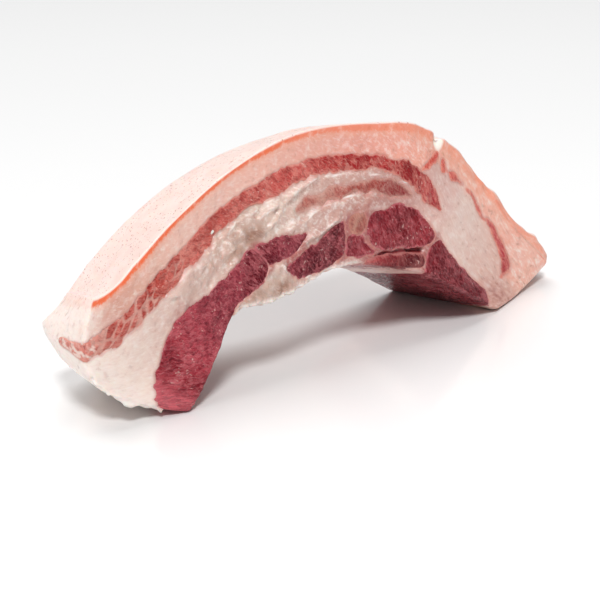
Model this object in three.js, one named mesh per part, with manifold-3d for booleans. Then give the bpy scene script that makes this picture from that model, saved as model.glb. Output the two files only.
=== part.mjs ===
// A slab of raw pork belly: one thick slice cut across the whole belly, standing as an arch on its ends.
// The rind is outward and up. The cut face with its layers of fat and lean looks along -Y, a little up.
// Units are millimetres, +Z is up, and the origin is under the middle of the slab on the table.
import * as THREE from "three";
import { mergeVertices } from "three/addons/utils/BufferGeometryUtils.js";
import Module from "manifold-3d";

const wasm = await Module();
wasm.setup();

// Driving sizes.
const RIND_LENGTH = 240; // along the rind, from the left end to the right end
const BELLY_THICKNESS = 50; // from the rind to the inner side
const LEAN_BACK = THREE.MathUtils.degToRad(15); // the cut face leans back from the vertical
const FRONT_FOOT_Y = -2;
const BACK_Y = 43; // the back face is a vertical cut
const BACK_TURN = { x: 20, slope: 0.12, blend: 8 }; // and turns away a little on the right limb
const FACE_TURN = { x: 64, slope: 0.33, blend: 6 }; // the right limb of the cut face turns back
const LAYER_GAP = 0.35; // the parting between neighbouring layers
const CENTRE = { x: 29.6, y: 27.9 }; // middle of the slab's footprint in section coordinates

// The arch in the plane of the cut face, as [x, height up the face], at even steps from left to right.
const RIND = [
  [-73, 42.5], [-57, 49.5], [-40, 61], [-20, 72], [2, 79], [24, 81.5],
  [46, 80.5], [67, 76.5], [88, 62.5], [111, 39.5], [139, 16],
];
const INNER_SIDE = [
  [-45, 0], [-38, 6], [-30, 17], [-21.5, 28], [-6, 28.5], [8, 31.5],
  [24, 34.5], [40, 31], [56, 26], [74, 16], [96, 3.5],
];

// The left end swells out below the rind. Towards the back its corner is trimmed off and lifted, and its
// layers draw back. Reaches are shares of the length, liftTo of the thickness, and the rest is millimetres.
const LEFT_END = {
  reach: 0.25, swell: [-17, -5], bulge: 3.5, flare: 1.5, flareReach: 0.1,
  trim: 18, trimReach: 0.15, shift: [1, 8], lift: [2, 18], liftTo: 0.6, drop: 13, draw: 18,
};
const RIGHT_END = { reach: 0.12, sag: 3 };
// Which way the section runs on past its two ends, for layers that are cut off there.
const ENDS_RUN = { left: [0.96, 0.28], right: [0.75, -0.66] };

// Streaks of lean, each a list of [along the rind, depth below it, thickness] down its middle.
const OUTER_LEAN = [
  [-9, 13.5, 4.5], [9, 13.4, 7.6], [27, 13.4, 8], [45, 13.8, 7.2], [63, 15.1, 8.4], [81, 14.2, 6.6],
  [99, 12.9, 6.4], [117, 12, 5.8], [135, 13.2, 5.6], [153, 14.9, 4.4], [168, 17.6, 6.4],
  [179, 21, 7.6], [190, 25, 2.6],
];
const OUTER_LEAN_TAIL = [
  [173.5, 13.6, 2], [180, 9.4, 3], [187, 9.6, 3], [195, 10.4, 1.8], [204, 10, 1.4], [211, 11, 2.6],
  [217, 11.6, 2.8], [222.5, 15, 3.2], [227, 18.6, 3.4], [228.8, 23, 3.2], [227.6, 27.4, 1.8],
];
const LENS_LEAN = [
  [108, 24, 1.6], [115, 23.3, 4], [125, 22.8, 4.6], [137, 22.9, 4.2], [148, 22.6, 4.2], [158, 23.3, 4.8],
  [165, 24.2, 4.4], [172, 24.8, 1.4],
];
const LOOSE_FLAP = [
  [157, 49.8, 1.6], [166, 49.4, 4], [176, 48.6, 4.6], [186, 47.6, 4.4], [193.5, 47.2, 1.6],
];

// The muscles along the inner side, each an outline of [along the rind, depth below it].
const INNER_LEANS = {
  lean_inner_left: [
    [83.5, 31.2], [76, 33.6], [69, 34.6], [61, 33.4], [52, 31.2], [44, 28.6], [37, 27.4], [30, 28.6],
    [22, 32], [14, 36.8], [6, 41], [-2, 44.4], [-12, 47], [-12, 55], [40, 55], [60, 51.5], [72, 47.8],
    [82, 45.4], [88.5, 42.4], [91.4, 38.5], [88, 34],
  ],
  lean_inner_fold: [
    [87.5, 31], [93, 30.5], [100, 30.5], [108, 32], [115, 33], [113, 36], [107, 37.4], [100, 38],
    [94, 37.4], [90.5, 35],
  ],
  lean_inner_middle: [
    [134.5, 34], [138, 39.5], [139.6, 45], [135, 46.4], [129, 46.6], [120, 46.4], [111, 45],
    [103, 41.5], [108, 40.2], [118, 39], [126, 36.8],
  ],
  lean_nodule: [[139.5, 33], [146, 32.3], [150.6, 34.5], [150.6, 38.4], [146, 39.6], [141.6, 37.6]],
  lean_inner_small: [
    [142, 41], [150, 40.6], [154, 43.4], [160, 45.2], [156, 46.6], [149, 46.6], [144, 45.4],
  ],
  lean_inner_right: [
    [153, 33.5], [159, 31], [168, 29], [177, 28.6], [185, 31], [190.5, 34], [191, 37.5],
    [186, 40.6], [176, 42.6], [166, 43.6], [158, 42.2], [153.4, 38.4],
  ],
  lean_inner_tail: [
    [193.5, 39.5], [197, 36], [203, 37.8], [211, 40], [219, 41.2], [226, 43], [231, 47],
    [232, 55], [214, 56], [199, 55], [194, 47],
  ],
};

// The membrane and soft fat along the inner side, and the partings that carry on where a streak ends.
const INNER_FAT = [
  [70, 50], [84, 48.4], [96, 47.4], [110, 47.6], [126, 48], [142, 47.8], [156, 48], [157, 60], [112, 60],
  [68, 60],
];
const PARTINGS = [
  [[-60, 14], [-25, 14], [12, 14.5]],
  [[170.5, 17], [172.5, 15], [175, 12.6]],
  [[227.5, 26.5], [236, 29], [248, 31]],
];

// Openings in the cut face: a nick in the rind at the right shoulder and a slit above the loose flap.
const RIND_NICK = { outline: [[174.5, -3], [182.5, -3], [179.4, 4], [177.6, 4]], depth: 0.16 };
const SLIT = {
  middle: [[163, 46.2, 0.5], [174, 45.2, 1.4], [184, 43.2, 1.6], [189, 42, 2.4]],
  depth: 0.45,
};
const OPENING_START = -0.12; // openings start this share of the width in front of the cut face

// How finely the faces are divided, and how far the layers wander from the front face to the back.
const STEPS = { along: 56, through: 9, across: 4 };
const WANDER = 2.2;
const LAYER_LEVELS = [-0.1, 0.45, 1.1];
const RIND_RELIEF_DEPTH = 0.4; // share of the thickness in which the waves of the rind die away

const MATERIALS = {
  fat: { color: 0xeed9cf, roughness: 0.42 },
  lean: { color: 0x9c3f4a, roughness: 0.36 },
  pale_lean: { color: 0xc98b84, roughness: 0.4 },
  membrane: { color: 0xd9b7a4, roughness: 0.35 },
};

const rindCurve = new THREE.SplineCurve(RIND.map((p) => new THREE.Vector2(...p)));
const innerCurve = new THREE.SplineCurve(INNER_SIDE.map((p) => new THREE.Vector2(...p)));

// A ramp from 0 that bends smoothly into a straight slope.
function ramp(distance, blend) {
  return blend * Math.log(1 + Math.exp(distance / blend));
}

// The point of the section at a share of the length, of the thickness and of the slice's width.
function sectionPoint(along, through, across) {
  const u = THREE.MathUtils.clamp(along, 0, 1);
  const arc = Math.sin(Math.PI * THREE.MathUtils.clamp(through, 0, 1));
  const point = rindCurve.getPoint(u).lerp(innerCurve.getPoint(u), through);
  const nearLeft = Math.max(0, 1 - u / LEFT_END.reach) ** 2;
  const swell = nearLeft * arc;
  const lifted = nearLeft * Math.max(0, across);
  const bulge = swell * LEFT_END.bulge * 4 * Math.max(0, across * (1 - across));
  const flare = LEFT_END.flare * Math.sin(Math.PI * Math.min(1, u / LEFT_END.flareReach)) * (1 - through);
  const sag = Math.max(0, (u - 1 + RIGHT_END.reach) / RIGHT_END.reach) ** 2 * arc;
  const shift = THREE.MathUtils.lerp(...LEFT_END.shift, through);
  const raised = THREE.MathUtils.smoothstep(through, 0, LEFT_END.liftTo);
  const dropped = THREE.MathUtils.smoothstep(through, LEFT_END.liftTo, 1);
  const lift = THREE.MathUtils.lerp(...LEFT_END.lift, raised) - LEFT_END.drop * dropped;
  point.x += swell * LEFT_END.swell[0] + lifted * shift - bulge;
  point.y += swell * LEFT_END.swell[1] + lifted * lift - flare - sag * RIGHT_END.sag;
  const [runX, runY] = along < 0 ? ENDS_RUN.left : ENDS_RUN.right;
  point.x += (along - u) * RIND_LENGTH * runX;
  point.y += (along - u) * RIND_LENGTH * runY;
  return point;
}

// Low swellings of the front and back faces and of the rind, in millimetres.
function faceRelief(along, through) {
  return 0.7 * Math.sin(9 * along + 5 * through) + 0.5 * Math.sin(21 * along - 7 * through + 1);
}
function rindRelief(along, across) {
  const loose = THREE.MathUtils.smoothstep(along, 0.86, 0.95);
  return 0.4 * Math.sin(17 * along + 4 * across) + loose * 1.3 * Math.sin(60 * along + 5 * across);
}

// World position of a point given by its shares of the length, of the thickness and of the slice's width.
function place(along, through, across) {
  const point = sectionPoint(along, through, across);
  const rise = rindRelief(along, across) * Math.max(0, 1 - through / RIND_RELIEF_DEPTH);
  const height = point.y + rise;
  const turned = FACE_TURN.slope * ramp(point.x - FACE_TURN.x, FACE_TURN.blend);
  const backY = BACK_Y + BACK_TURN.slope * ramp(point.x - BACK_TURN.x, BACK_TURN.blend);
  const frontY = FRONT_FOOT_Y + height * Math.sin(LEAN_BACK) + turned * Math.cos(LEAN_BACK);
  const nearEnd = Math.max(0, 1 - Math.max(0, along) / LEFT_END.trimReach);
  const trimmed = LEFT_END.trim * nearEnd ** 2 * (1 - Math.min(1, through)) ** 3;
  const width = (backY - frontY) / Math.cos(LEAN_BACK) - trimmed;
  const back = turned + across * width - (1 - across) * faceRelief(along, through);
  return new THREE.Vector3(
    point.x - CENTRE.x,
    FRONT_FOOT_Y + height * Math.sin(LEAN_BACK) + back * Math.cos(LEAN_BACK) - CENTRE.y,
    height * Math.cos(LEAN_BACK) - back * Math.sin(LEAN_BACK),
  );
}

// A closed solid for manifold-3d from a three.js geometry.
function solidFrom(geometry) {
  const bare = geometry.clone();
  bare.deleteAttribute("normal");
  bare.deleteAttribute("uv");
  const merged = mergeVertices(bare, 1e-4);
  const made = new wasm.Manifold(
    new wasm.Mesh({
      numProp: 3,
      vertProperties: new Float32Array(merged.attributes.position.array),
      triVerts: new Uint32Array(merged.index.array),
    }),
  );
  return made;
}

function geometryFrom(solid) {
  const mesh = solid.getMesh();
  const geometry = new THREE.BufferGeometry();
  geometry.setAttribute("position", new THREE.BufferAttribute(new Float32Array(mesh.vertProperties), 3));
  geometry.setIndex(new THREE.BufferAttribute(new Uint32Array(mesh.triVerts), 1));
  geometry.computeVertexNormals();
  return geometry;
}

// The whole slab: the six faces of the bent block, each a grid, joined along their edges.
function slabGeometry() {
  const points = [];
  const index = [];
  const steps = [STEPS.along, STEPS.through, STEPS.across];
  // One face: two of the three shares run over a grid, and the third stays at 0 or 1.
  function addFace(first, second, fixed, value, flip) {
    const start = points.length;
    for (let i = 0; i <= steps[first]; i++) {
      for (let j = 0; j <= steps[second]; j++) {
        const share = [0, 0, 0];
        share[first] = i / steps[first];
        share[second] = j / steps[second];
        share[fixed] = value;
        points.push(place(...share));
      }
    }
    const row = steps[second] + 1;
    for (let i = 0; i < steps[first]; i++) {
      for (let j = 0; j < steps[second]; j++) {
        const a = start + i * row + j;
        const corners = [a, a + row, a + row + 1, a + 1];
        if (flip) corners.reverse();
        index.push(corners[0], corners[1], corners[2], corners[0], corners[2], corners[3]);
      }
    }
  }
  addFace(0, 1, 2, 0, true);
  addFace(0, 1, 2, 1, false);
  addFace(0, 2, 1, 0, false);
  addFace(0, 2, 1, 1, true);
  addFace(1, 2, 0, 0, true);
  addFace(1, 2, 0, 1, false);
  return new THREE.BufferGeometry().setFromPoints(points).setIndex(index);
}

// Outline of a streak from its middle line: along one side, round the end and back along the other.
function streakOutline(middle, grow = 0) {
  const curve = new THREE.CatmullRomCurve3(middle.map((p) => new THREE.Vector3(p[0], p[1], p[2] ?? 0)));
  const length = middle.at(-1)[0] - middle[0][0];
  const steps = Math.max(6, Math.round(length / 7));
  const upper = [];
  const lower = [];
  for (let i = 0; i <= steps; i++) {
    const v = i / steps;
    const p = curve.getPoint(v);
    const tangent = curve.getTangent(v).setZ(0).normalize();
    const blunt = Math.sqrt(Math.max(0, 1 - Math.abs(2 * v - 1) ** 10));
    const half = 0.5 * p.z * (0.25 + 0.75 * blunt) + grow;
    const end = grow * (i === 0 ? -1 : i === steps ? 1 : 0);
    const x = p.x + end * tangent.x;
    const y = p.y + end * tangent.y;
    upper.push(new THREE.Vector2(x + tangent.y * half, y - tangent.x * half));
    lower.push(new THREE.Vector2(x - tangent.y * half, y + tangent.x * half));
  }
  return upper.concat(lower.reverse());
}

// A smooth closed outline through its points, and the same outline moved outward by a margin.
function roundOutline(points, grow = 0, corners = 2) {
  const corner = points.map((p) => new THREE.Vector3(p[0], p[1], 0));
  const curve = new THREE.CatmullRomCurve3(corner, true, "centripetal");
  const count = points.length * corners;
  const outline = [];
  for (let i = 0; i < count; i++) {
    const p = curve.getPoint(i / count);
    outline.push(new THREE.Vector2(p.x, p.y));
  }
  return grown(outline, grow);
}

function grown(outline, grow) {
  const turn = THREE.ShapeUtils.isClockWise(outline) ? -1 : 1;
  return outline.map((p, i) => {
    const before = outline.at(i - 1);
    const after = outline[(i + 1) % outline.length];
    const way = after.clone().sub(before).normalize();
    return new THREE.Vector2(p.x + turn * way.y * grow, p.y - turn * way.x * grow);
  });
}

// A layer's solid: its outline carried from the front of the slice to the back, wandering on the way.
function layerSolid(outline, levels = LAYER_LEVELS) {
  const ring = THREE.ShapeUtils.isClockWise(outline) ? outline.slice().reverse() : outline;
  const points = [];
  for (const across of levels) {
    for (const p of ring) {
      const along = p.x / RIND_LENGTH;
      const through = p.y / BELLY_THICKNESS;
      const drift = (WANDER / BELLY_THICKNESS) * across * Math.sin(11 * along + 1.5 + 2 * across);
      const drawn = LEFT_END.draw * Math.max(0, 1 - along / LEFT_END.reach);
      const slide = (across / RIND_LENGTH) * (WANDER * Math.sin(7 * along + 4 * through) + drawn);
      points.push(place(along + slide, through + drift * (1 - 0.6 * through), across));
    }
  }
  const count = ring.length;
  const index = [];
  for (let level = 0; level < levels.length - 1; level++) {
    for (let i = 0; i < count; i++) {
      const next = (i + 1) % count;
      const a = level * count + i;
      const b = level * count + next;
      // Both sides of a thin layer are cut along the same diagonal, so that they stay parallel.
      if (ring[next].x >= ring[i].x) index.push(a, a + count, b, b, a + count, b + count);
      else index.push(a, a + count, b + count, a, b + count, b);
    }
  }
  const top = (levels.length - 1) * count;
  for (const [a, b, c] of THREE.ShapeUtils.triangulateShape(ring, [])) {
    index.push(a, b, c, top + a, top + c, top + b);
  }
  const solid = solidFrom(new THREE.BufferGeometry().setFromPoints(points).setIndex(index));
  if (solid.volume() > 0) return solid;
  for (let i = 0; i < index.length; i += 3) [index[i + 1], index[i + 2]] = [index[i + 2], index[i + 1]];
  return solidFrom(new THREE.BufferGeometry().setFromPoints(points).setIndex(index));
}

// The slab stands on the table, so what would be below it is pressed flat.
const aboveTable = solidFrom(new THREE.BoxGeometry(400, 200, 200).translate(0, 0, 100));
const openings = [
  layerSolid(RIND_NICK.outline.map((p) => new THREE.Vector2(...p)), [OPENING_START, RIND_NICK.depth]),
  layerSolid(streakOutline(SLIT.middle), [OPENING_START, SLIT.depth]),
];
let slab = solidFrom(slabGeometry()).intersect(aboveTable);
for (const opening of openings) slab = slab.subtract(opening);

const leans = {
  lean_outer: (grow) => streakOutline(OUTER_LEAN, grow),
  lean_outer_tail: (grow) => streakOutline(OUTER_LEAN_TAIL, grow),
  lean_lens: (grow) => streakOutline(LENS_LEAN, grow),
  loose_flap: (grow) => streakOutline(LOOSE_FLAP, grow),
};
for (const [name, points] of Object.entries(INNER_LEANS)) {
  leans[name] = (grow) => roundOutline(points, grow);
}

// The largest body of a solid, without loose scraps.
function mainBody(solid) {
  return solid.decompose().reduce((most, body) => (body.volume() > most.volume() ? body : most));
}

const nodes = new Map();
let fat = slab;
for (const [name, outline] of Object.entries(leans)) {
  nodes.set(name, mainBody(slab.intersect(layerSolid(outline(0)))));
  fat = fat.subtract(layerSolid(outline(LAYER_GAP)));
}
for (const parting of PARTINGS) fat = fat.subtract(layerSolid(streakOutline(parting, LAYER_GAP / 2)));
const innerFat = fat.intersect(layerSolid(roundOutline(INNER_FAT)));
nodes.set("fat_inner", mainBody(innerFat));
fat = fat.subtract(layerSolid(roundOutline(INNER_FAT, LAYER_GAP)));
const [first, second] = fat.decompose().sort((a, b) => b.volume() - a.volume());
const outerFirst = first.boundingBox().max[2] > second.boundingBox().max[2];
nodes.set("fat_outer_with_rind", outerFirst ? first : second);
nodes.set("fat_middle", outerFirst ? second : first);

function materialOf(name) {
  if (name.startsWith("fat")) return MATERIALS.fat;
  if (name === "loose_flap") return MATERIALS.membrane;
  if (name === "lean_nodule" || name === "lean_lens") return MATERIALS.pale_lean;
  return MATERIALS.lean;
}

const porkBellySlab = new THREE.Group();
for (const [name, solid] of nodes) {
  const mesh = new THREE.Mesh(geometryFrom(solid), new THREE.MeshStandardMaterial(materialOf(name)));
  mesh.name = name;
  porkBellySlab.add(mesh);
}

export default porkBellySlab;
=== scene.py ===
import math

import bpy
import numpy as np
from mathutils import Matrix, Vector


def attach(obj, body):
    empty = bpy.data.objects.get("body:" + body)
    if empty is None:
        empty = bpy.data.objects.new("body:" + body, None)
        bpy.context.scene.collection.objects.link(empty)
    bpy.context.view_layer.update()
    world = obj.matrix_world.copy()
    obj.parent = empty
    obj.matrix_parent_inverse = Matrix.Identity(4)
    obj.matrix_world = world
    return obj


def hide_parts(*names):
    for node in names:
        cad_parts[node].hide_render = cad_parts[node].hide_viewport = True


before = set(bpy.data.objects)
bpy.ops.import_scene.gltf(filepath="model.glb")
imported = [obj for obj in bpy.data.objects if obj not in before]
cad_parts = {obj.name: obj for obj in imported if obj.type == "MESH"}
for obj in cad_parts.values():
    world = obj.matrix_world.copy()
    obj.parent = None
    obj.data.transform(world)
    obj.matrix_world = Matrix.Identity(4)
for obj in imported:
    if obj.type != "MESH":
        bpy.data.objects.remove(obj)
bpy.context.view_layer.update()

# The slice as a whole. A band of belly 50 mm thick and 240 mm along its rind is bent into an arch and cut
# across, with the cut face leaning back. Every layer below belongs to this block, so each point of a piece
# is given by three shares: along the rind, through the thickness, and across the slice from the cut face.
METRE = 0.001
RIND_LENGTH = 240.0
THICKNESS = 50.0
SLICE_WIDTH = 45.0
LEAN_BACK = math.radians(15)
FRONT_FOOT_Y = -2.0
BACK_Y = 43.0
CENTRE = (29.6, 27.9)
BACK_TURN = {"x": 20, "slope": 0.12, "blend": 8}
FACE_TURN = {"x": 64, "slope": 0.33, "blend": 6}
RIND_LINE = [
    (-73, 42.5), (-57, 49.5), (-40, 61), (-20, 72), (2, 79), (24, 81.5),
    (46, 80.5), (67, 76.5), (88, 62.5), (111, 39.5), (139, 16),
]
INNER_LINE = [
    (-45, 0), (-38, 6), (-30, 17), (-21.5, 28), (-6, 28.5), (8, 31.5),
    (24, 34.5), (40, 31), (56, 26), (74, 16), (96, 3.5),
]
LEFT_END = {
    "reach": 0.25, "swell": (-17, -5), "bulge": 3.5, "flare": 1.5, "flare_reach": 0.1,
    "trim": 18, "trim_reach": 0.15, "shift": (1, 8), "lift": (2, 18), "lift_to": 0.6, "drop": 13, "draw": 18,
}
RIGHT_END = {"reach": 0.12, "sag": 3}
WANDER = 2.2


def step(values, low, high):
    share = np.clip((values - low) / (high - low), 0, 1)
    return share * share * (3 - 2 * share)


def mix(first, second, share):
    return first + (second - first) * share


def ramp(distance, blend):
    """Nothing before a place and an even rise after it, with a soft turn between."""
    return blend * np.logaddexp(0, distance / blend)


def spline(points, share):
    points = np.array(points, float)
    last = len(points) - 1
    at = np.clip(share, 0, 1) * last
    i = at.astype(int)
    f = (at - i)[..., None]
    before, here = points[np.maximum(i - 1, 0)], points[i]
    after, beyond = points[np.minimum(i + 1, last)], points[np.minimum(i + 2, last)]
    out, back = (after - before) / 2, (beyond - here) / 2
    cubed, squared = 2 * here - 2 * after + out + back, 3 * after - 3 * here - 2 * out - back
    return cubed * f**3 + squared * f**2 + out * f + here


def section(along, through, across):
    """Where a point lies in the leaning plane of the cut face: sideways, and up the plane."""
    u = np.clip(along, 0, 1)
    arc = np.sin(math.pi * np.clip(through, 0, 1))
    point = mix(spline(RIND_LINE, u), spline(INNER_LINE, u), through[..., None])
    near_left = np.maximum(0, 1 - u / LEFT_END["reach"]) ** 2
    swell = near_left * arc
    lifted = near_left * np.maximum(0, across)
    bulge = swell * LEFT_END["bulge"] * 4 * np.maximum(0, across * (1 - across))
    flare = LEFT_END["flare"] * np.sin(math.pi * np.minimum(1, u / LEFT_END["flare_reach"])) * (1 - through)
    sag = np.maximum(0, (u - 1 + RIGHT_END["reach"]) / RIGHT_END["reach"]) ** 2 * arc * RIGHT_END["sag"]
    raised = mix(*LEFT_END["lift"], step(through, 0, LEFT_END["lift_to"]))
    lift = raised - LEFT_END["drop"] * step(through, LEFT_END["lift_to"], 1)
    x = point[..., 0] + swell * LEFT_END["swell"][0] + lifted * mix(*LEFT_END["shift"], through) - bulge
    height = point[..., 1] + swell * LEFT_END["swell"][1] + lifted * lift - flare - sag
    return x, height


def place(along, through, across):
    along, through, across = np.broadcast_arrays(along, through, across)
    x, height = section(along, through, across)
    # Neither the cut face nor the rind is flat: the number before each sine is a swell in millimetres.
    face = 0.7 * np.sin(9 * along + 5 * through) + 0.5 * np.sin(21 * along - 7 * through + 1)
    loose = step(along, 0.86, 0.95) * 1.3 * np.sin(60 * along + 5 * across)
    swell = 0.4 * np.sin(17 * along + 4 * across) + loose
    height = height + swell * np.maximum(0, 1 - 2.5 * through)
    turned = FACE_TURN["slope"] * ramp(x - FACE_TURN["x"], FACE_TURN["blend"])
    back_y = BACK_Y + BACK_TURN["slope"] * ramp(x - BACK_TURN["x"], BACK_TURN["blend"])
    front_y = FRONT_FOOT_Y + height * math.sin(LEAN_BACK) + turned * math.cos(LEAN_BACK)
    near_end = np.maximum(0, 1 - np.maximum(0, along) / LEFT_END["trim_reach"])
    trimmed = LEFT_END["trim"] * near_end**2 * (1 - np.clip(through, 0, 1)) ** 3
    width = (back_y - front_y) / math.cos(LEAN_BACK) - trimmed
    back = turned + across * width - (1 - across) * face
    y = FRONT_FOOT_Y + height * math.sin(LEAN_BACK) + back * math.cos(LEAN_BACK)
    z = height * math.cos(LEAN_BACK) - back * math.sin(LEAN_BACK)
    return np.stack([x - CENTRE[0], y - CENTRE[1], z], -1)


# Where a layer's point lies at a place across the slice: layers wander a little on their way to the back.
def layer_shares(along, depth, across):
    u = along / RIND_LENGTH
    t = depth / THICKNESS
    drift = WANDER / THICKNESS * across * np.sin(11 * u + 1.5 + 2 * across)
    drawn = LEFT_END["draw"] * np.maximum(0, 1 - u / LEFT_END["reach"])
    slide = across / RIND_LENGTH * (WANDER * np.sin(7 * u + 4 * t) + drawn)
    return u + slide, t + drift * (1 - 0.6 * t)


def layer_point(u, t, across):
    along, depth = u * RIND_LENGTH, t * THICKNESS
    for _ in range(4):
        now = layer_shares(along, depth, across)
        along = along + (u - now[0]) * RIND_LENGTH
        depth = depth + (t - now[1]) * THICKNESS
    return along, depth


# The outer points of a block divided by three lists of shares, and its six faces as four-sided faces and
# as places on a texture map, where each face has a strip of its own.
def block(steps, size, strip_gap=1.0):
    count = [len(s) for s in steps]
    numbers = np.full(count, -1)
    rim = np.zeros(count, bool)
    rim[[0, -1]] = rim[:, [0, -1]] = rim[:, :, [0, -1]] = True
    numbers[rim] = np.arange(rim.sum())
    i, j, k = np.nonzero(rim)
    shares = np.stack([steps[0][i], steps[1][j], steps[2][k]], -1)
    length, thick, wide = size
    rows = np.cumsum([0, thick, thick, wide, wide]) + strip_gap * np.arange(5)
    faces = [
        (numbers[:, :, 0], steps[0] * length, steps[1] * thick, (0, rows[0]), True),
        (numbers[:, :, -1], steps[0] * length, steps[1] * thick, (0, rows[1]), False),
        (numbers[:, 0, :], steps[0] * length, steps[2] * wide, (0, rows[2]), False),
        (numbers[:, -1, :], steps[0] * length, steps[2] * wide, (0, rows[3]), True),
        (numbers[0, :, :], steps[1] * thick, steps[2] * wide, (0, rows[4]), True),
        (numbers[-1, :, :], steps[1] * thick, steps[2] * wide, (thick + strip_gap, rows[4]), False),
    ]
    sheet = np.array([max(length, 2 * thick + strip_gap), rows[4] + wide])
    quads, places = [], []
    for grid, first, second, corner, flip in faces:
        spot = np.stack(np.meshgrid(first + corner[0], second + corner[1], indexing="ij"), -1) / sheet
        ring = [np.s_[:-1, :-1], np.s_[1:, :-1], np.s_[1:, 1:], np.s_[:-1, 1:]]
        if flip:
            ring.reverse()
        quads.append(np.stack([grid[r] for r in ring], -1).reshape(-1, 4))
        places.append(np.stack([spot[r] for r in ring], -2).reshape(-1, 4, 2))
    return shares, np.concatenate(quads), np.concatenate(places)


def spacing(length, edge, middle, reach):
    """Shares of a length, with steps of edge millimetres within reach of its ends and wider ones between."""
    run = np.arange(0, reach, edge)
    body = np.linspace(reach, length - reach, round((length - 2 * reach) / middle) + 1)
    return np.concatenate([run, body, length - run[::-1]]) / length


def normals(points, quads):
    a, b, c, d = (points[quads[:, n]] for n in range(4))
    across_faces = np.cross(c - a, d - b)
    total = np.zeros_like(points)
    for n in range(4):
        for axis in range(3):
            total[:, axis] += np.bincount(quads[:, n], across_faces[:, axis], len(points))
    return total / np.maximum(np.linalg.norm(total, axis=1, keepdims=True), 1e-12)


# Even, repeatable random values between -1 and 1 for whole-numbered cells, and smooth swellings between them
# that change over a size in millimetres. Each use has a seed of its own.
def scatter(cells, seed):
    key = cells @ np.array([73856093, 19349663, 83492791])[: cells.shape[-1]] + seed * 961748941
    key = (key ^ (key >> 13)) * 1274126177 & 0xFFFFFFFF
    return ((key ^ (key >> 15)) & 0xFFFF) / 32767.5 - 1


def lumps(spot, size, seed):
    at = spot / size
    cell = np.floor(at).astype(np.int64)
    f = at - cell
    f = f * f * (3 - 2 * f)
    total = 0
    for corner in np.ndindex(2, 2, 2):
        total = total + scatter(cell + corner, seed) * np.prod(np.where(corner, f, 1 - f), axis=-1)
    return total


def waves(spot):
    """The low swell and fine unevenness that the knife left on the whole slice."""
    return 0.35 * lumps(spot, 14, 3) + 0.16 * lumps(spot, 5, 4) + 0.06 * lumps(spot, 1.8, 5)


# The slice has no sharp corner: where two of its six sides meet, a point within the radius goes round.
EDGE_ROUND = {"rind": 0.9, "inner": 2.0, "ends": 2.0}


def rounded(first, second, radius):
    level = np.minimum(first, second)
    near = np.maximum(first, second) - level
    angle = math.pi / 4 * (1 - np.minimum(near, radius) / radius)
    slid, sunk = level + radius * (1 - np.sin(angle)), level + radius * (1 - np.cos(angle))
    on_edge = (near < radius) & (level < 1)
    move_first = np.where(first <= second, sunk, slid) - first
    move_second = np.where(first <= second, slid, sunk) - second
    return np.where(on_edge, move_first, 0), np.where(on_edge, move_second, 0)


def soft_corners(shares):
    size = np.array([RIND_LENGTH, THICKNESS, SLICE_WIDTH])
    from_end = np.minimum(shares, 1 - shares) * size
    toward = np.where(shares < 0.5, 1, -1)
    radius = mix(EDGE_ROUND["rind"], EDGE_ROUND["inner"], step(shares[:, 1], 0.3, 0.7))
    moves = np.zeros_like(shares)
    for one, other, soft in ((1, 2, radius), (0, 1, EDGE_ROUND["ends"]), (0, 2, EDGE_ROUND["ends"])):
        move_one, move_other = rounded(from_end[:, one], from_end[:, other], soft)
        moves[:, one] += move_one
        moves[:, other] += move_other
    return shares + moves * toward / size


# How far points lie from a line, counted positive on its right as the cut face is seen, and where along it.
def line_distance(points, line):
    line = np.array(line, float)
    nearest = np.full(len(points), np.inf)
    side = np.ones(len(points))
    share = np.zeros(len(points))
    for n, (a, b) in enumerate(zip(line[:-1], line[1:])):
        way = b - a
        t = np.clip((points - a) @ way / max(way @ way, 1e-12), 0, 1)
        off = points - a - t[:, None] * way
        distance = np.hypot(off[:, 0], off[:, 1])
        closer = distance < nearest
        nearest[closer] = distance[closer]
        side[closer] = np.sign(way[0] * off[closer, 1] - way[1] * off[closer, 0])
        share[closer] = (n + t[closer]) / (len(line) - 1)
    return nearest * np.where(side == 0, 1, side), share


def press_flat(points, soft=0.6):
    """Presses what would sink below the table flat on it, with a soft turn."""
    points[:, 2] = (points[:, 2] + np.hypot(points[:, 2], soft)) / 2
    return points


def put_in_scene(name, data):
    thing = bpy.data.objects.new(name, data)
    bpy.context.scene.collection.objects.link(thing)
    return thing


def make_piece(name, nodes, body, material):
    points, quads, places, values = body
    mesh = bpy.data.meshes.new(name)
    mesh.vertices.add(len(points))
    mesh.vertices.foreach_set("co", (points * METRE).astype(np.float32).ravel())
    mesh.loops.add(quads.size)
    mesh.loops.foreach_set("vertex_index", quads.astype(np.int32).ravel())
    mesh.polygons.add(len(quads))
    mesh.polygons.foreach_set("loop_start", np.arange(0, quads.size, 4, dtype=np.int32))
    mesh.update(calc_edges=True)
    mesh.validate()
    mesh.uv_layers.new(name="OFBake").data.foreach_set("uv", places.astype(np.float32).ravel())
    for label, numbers in values.items():
        kind, field = ("FLOAT_VECTOR", "vector") if numbers.ndim == 2 else ("FLOAT", "value")
        mesh.attributes.new(label, kind, "POINT").data.foreach_set(field, numbers.astype(np.float32).ravel())
    mesh.shade_smooth()
    mesh.materials.append(material)
    piece = put_in_scene(name, mesh)
    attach(piece, "root")
    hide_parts(*nodes)


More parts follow.
